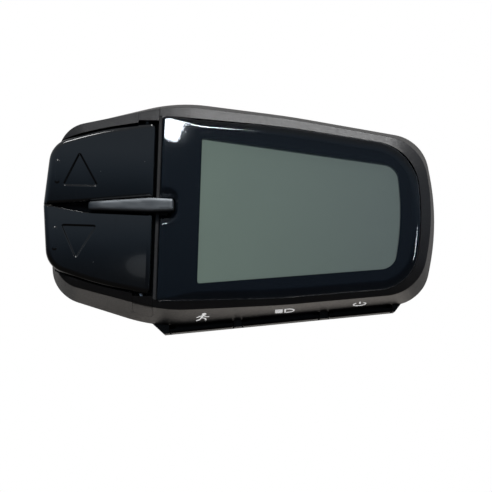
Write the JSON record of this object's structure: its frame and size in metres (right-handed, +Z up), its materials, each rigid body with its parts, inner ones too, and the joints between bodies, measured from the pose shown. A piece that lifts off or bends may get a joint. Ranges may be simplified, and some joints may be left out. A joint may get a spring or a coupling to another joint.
{
  "type": "e-bike handlebar display",
  "caption": "Handlebar display and remote for an electric bicycle: LCD window, thumb buttons either side of a raised divider, lower keys and a split clamp.",
  "frame": {"origin": "centre of the clamp bore, on the handlebar's axis", "axes": "+X along the handlebar towards the screen end, +Z up, the face looks along -Y"},
  "size_m": [0.0711, 0.0474, 0.0426],
  "materials": {
    "housing_plastic": "fine-textured matt moulding",
    "case_plastic": "fine-textured matt moulding",
    "window_clear": "clear hard-coated polycarbonate, polished",
    "window_print": "black screen print",
    "lcd_glass": "grey-green unlit LCD",
    "light_guide": "clear acrylic light guide",
    "tray_white": "white reflective moulding",
    "button_gloss": "polished black",
    "divider_satin": "satin grey paint",
    "key_gloss": "polished black",
    "board_laminate": "green solder mask on glass-epoxy",
    "chip_epoxy": "moulded epoxy",
    "shield_can": "tinned steel can",
    "connector_nylon": "natural nylon",
    "silicone": "moulded silicone",
    "seal_rubber": "moulded rubber",
    "adhesive": "double-sided tape",
    "screw_steel": "black-passivated steel",
    "pin_steel": "ground steel",
    "insert_brass": "knurled brass",
    "bracket_alloy": "black-anodised satin"
  },
  "bodies": {
    "root": {"front_housing": "housing_plastic", "rear_case": "case_plastic", "button_bridge": "housing_plastic", "thumb_divider": "divider_satin", "pivot_pin": "pin_steel", "window_lens": "window_clear", "window_mask": "window_print", "lens_adhesive": "adhesive", "lcd_panel": "lcd_glass", "light_guide": "light_guide", "lcd_tray": "tray_white", "lcd_connector": "silicone", "main_board": "board_laminate", "up_switch": "chip_epoxy", "down_switch": "chip_epoxy", "backlight_leds": "tray_white", "microcontroller": "chip_epoxy", "radio_module": "shield_can", "cable_header": "connector_nylon", "button_membrane": "silicone", "board_screws": "screw_steel", "perimeter_seal": "seal_rubber", "case_screws": "screw_steel", "cable_gland": "seal_rubber", "key_frame": "case_plastic", "key_membrane": "silicone", "walk_switch": "chip_epoxy", "light_switch": "chip_epoxy", "power_switch": "chip_epoxy", "clamp_bracket": "bracket_alloy", "clamp_liner": "seal_rubber", "clamp_screw": "screw_steel", "clamp_nut": "screw_steel", "bracket_screws": "screw_steel", "bracket_inserts": "insert_brass"},
    "up_button": {"up_button": "button_gloss"},
    "down_button": {"down_button": "button_gloss"},
    "walk_key": {"walk_key": "key_gloss"},
    "light_key": {"light_key": "key_gloss"},
    "power_key": {"power_key": "key_gloss"}
  },
  "joints": [
    {"name": "up_button_press", "type": "hinge", "parent": "root", "child": "up_button", "pos_m": [-0.0173, -0.0281, 0], "axis": [0, 0, -1], "range_deg": [0, 3.3], "stiffness_Nm_per_rad": 0.6},
    {"name": "down_button_press", "type": "hinge", "parent": "root", "child": "down_button", "pos_m": [-0.0173, -0.0281, 0], "axis": [0, 0, -1], "range_deg": [0, 3.3], "stiffness_Nm_per_rad": 0.6},
    {"name": "walk_key_press", "type": "slide", "parent": "root", "child": "walk_key", "axis": [-0.1297, 0, 0.9916], "range_m": [0, 0.0004], "stiffness_N_per_m": 4000},
    {"name": "light_key_press", "type": "slide", "parent": "root", "child": "light_key", "axis": [-0.1297, 0, 0.9916], "range_m": [0, 0.0004], "stiffness_N_per_m": 4000},
    {"name": "power_key_press", "type": "slide", "parent": "root", "child": "power_key", "axis": [-0.1297, 0, 0.9916], "range_m": [0, 0.0004], "stiffness_N_per_m": 4000}
  ]
}
